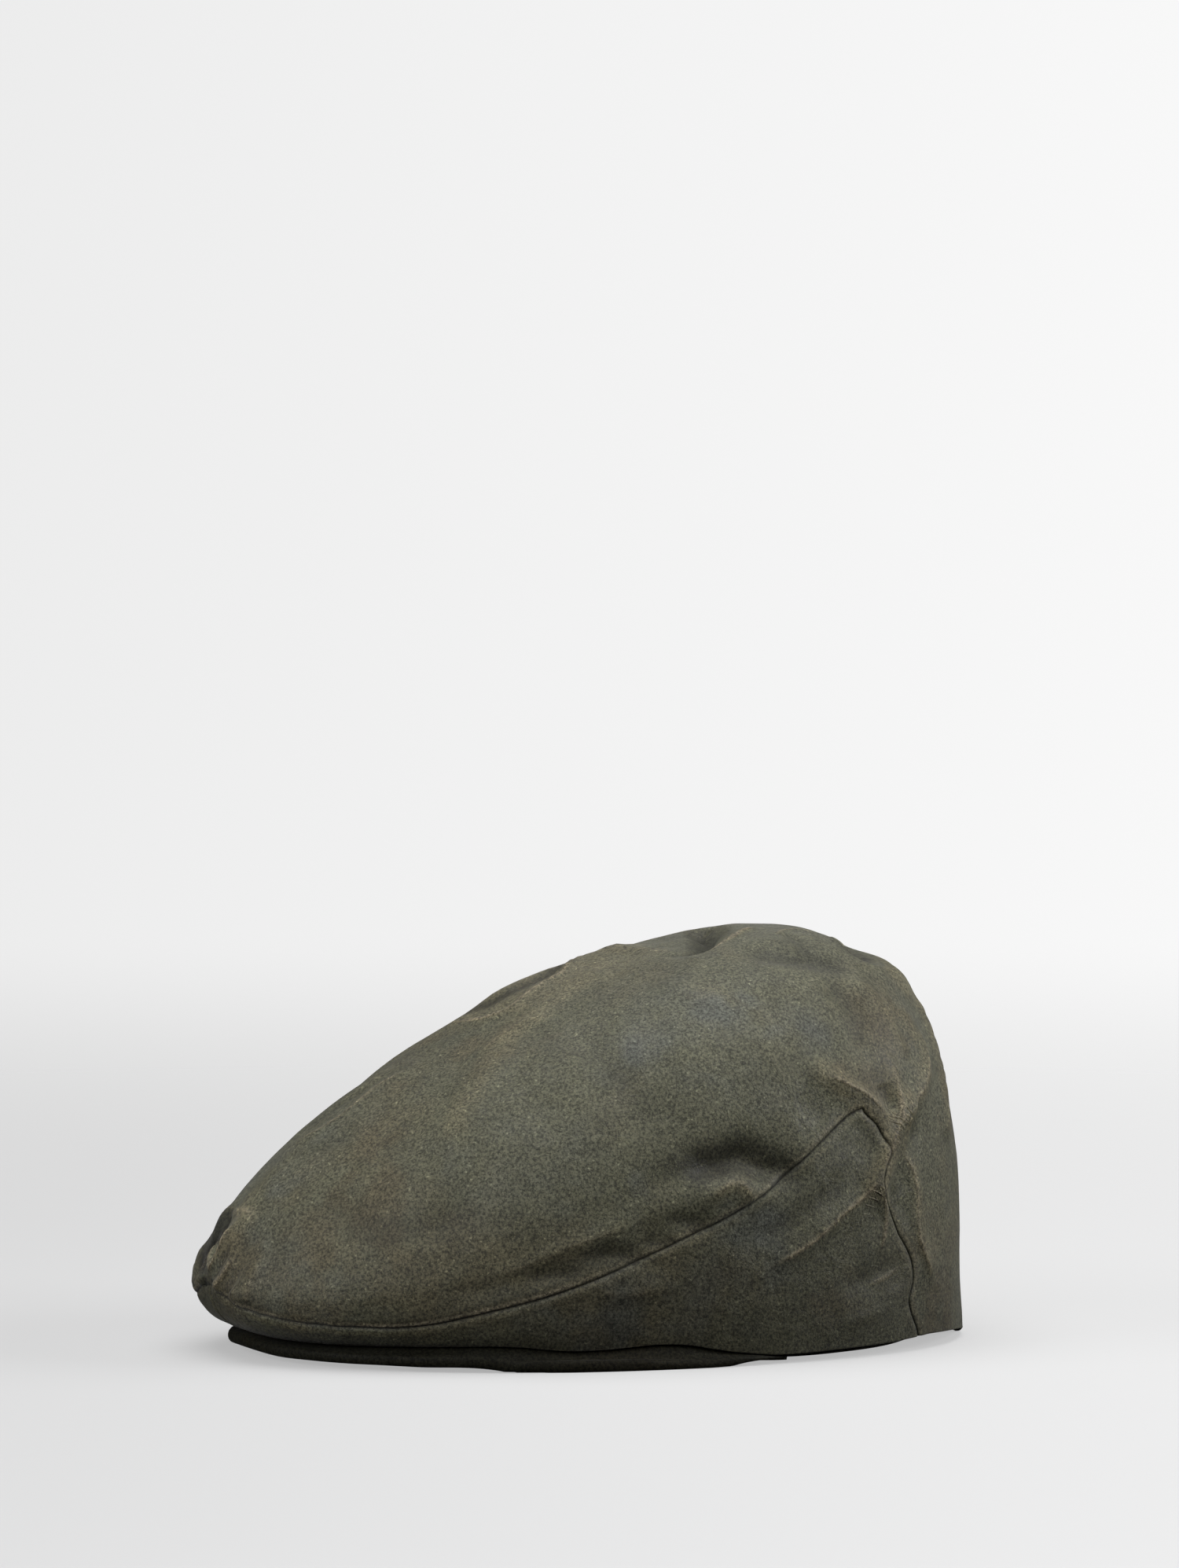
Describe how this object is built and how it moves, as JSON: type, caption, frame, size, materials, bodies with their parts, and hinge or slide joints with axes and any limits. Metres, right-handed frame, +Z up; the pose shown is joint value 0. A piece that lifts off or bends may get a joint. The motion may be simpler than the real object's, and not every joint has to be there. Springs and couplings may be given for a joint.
{
  "type": "waxed flat cap",
  "caption": "Dark waxed-cotton flat cap: a long top panel runs down the back, shaped side panels and a short stiff peak, with an inner band.",
  "frame": {"origin": "centre of the bounding box, on the surface that the cap rests on", "axes": "+X toward the wearer's left, +Y toward the back, so the peak points along -Y, +Z up"},
  "size_m": [0.1772, 0.254, 0.1321],
  "materials": {
    "waxed_cotton_top": "dry waxed",
    "waxed_cotton_side": "dry waxed",
    "waxed_cotton_peak": "dry waxed",
    "band_cloth": "plain cotton tape"
  },
  "bodies": {
    "root": {"top_panel": "waxed_cotton_top", "left_side_panel": "waxed_cotton_side", "right_side_panel": "waxed_cotton_side", "peak": "waxed_cotton_peak", "sweatband": "band_cloth"}
  },
  "joints": []
}
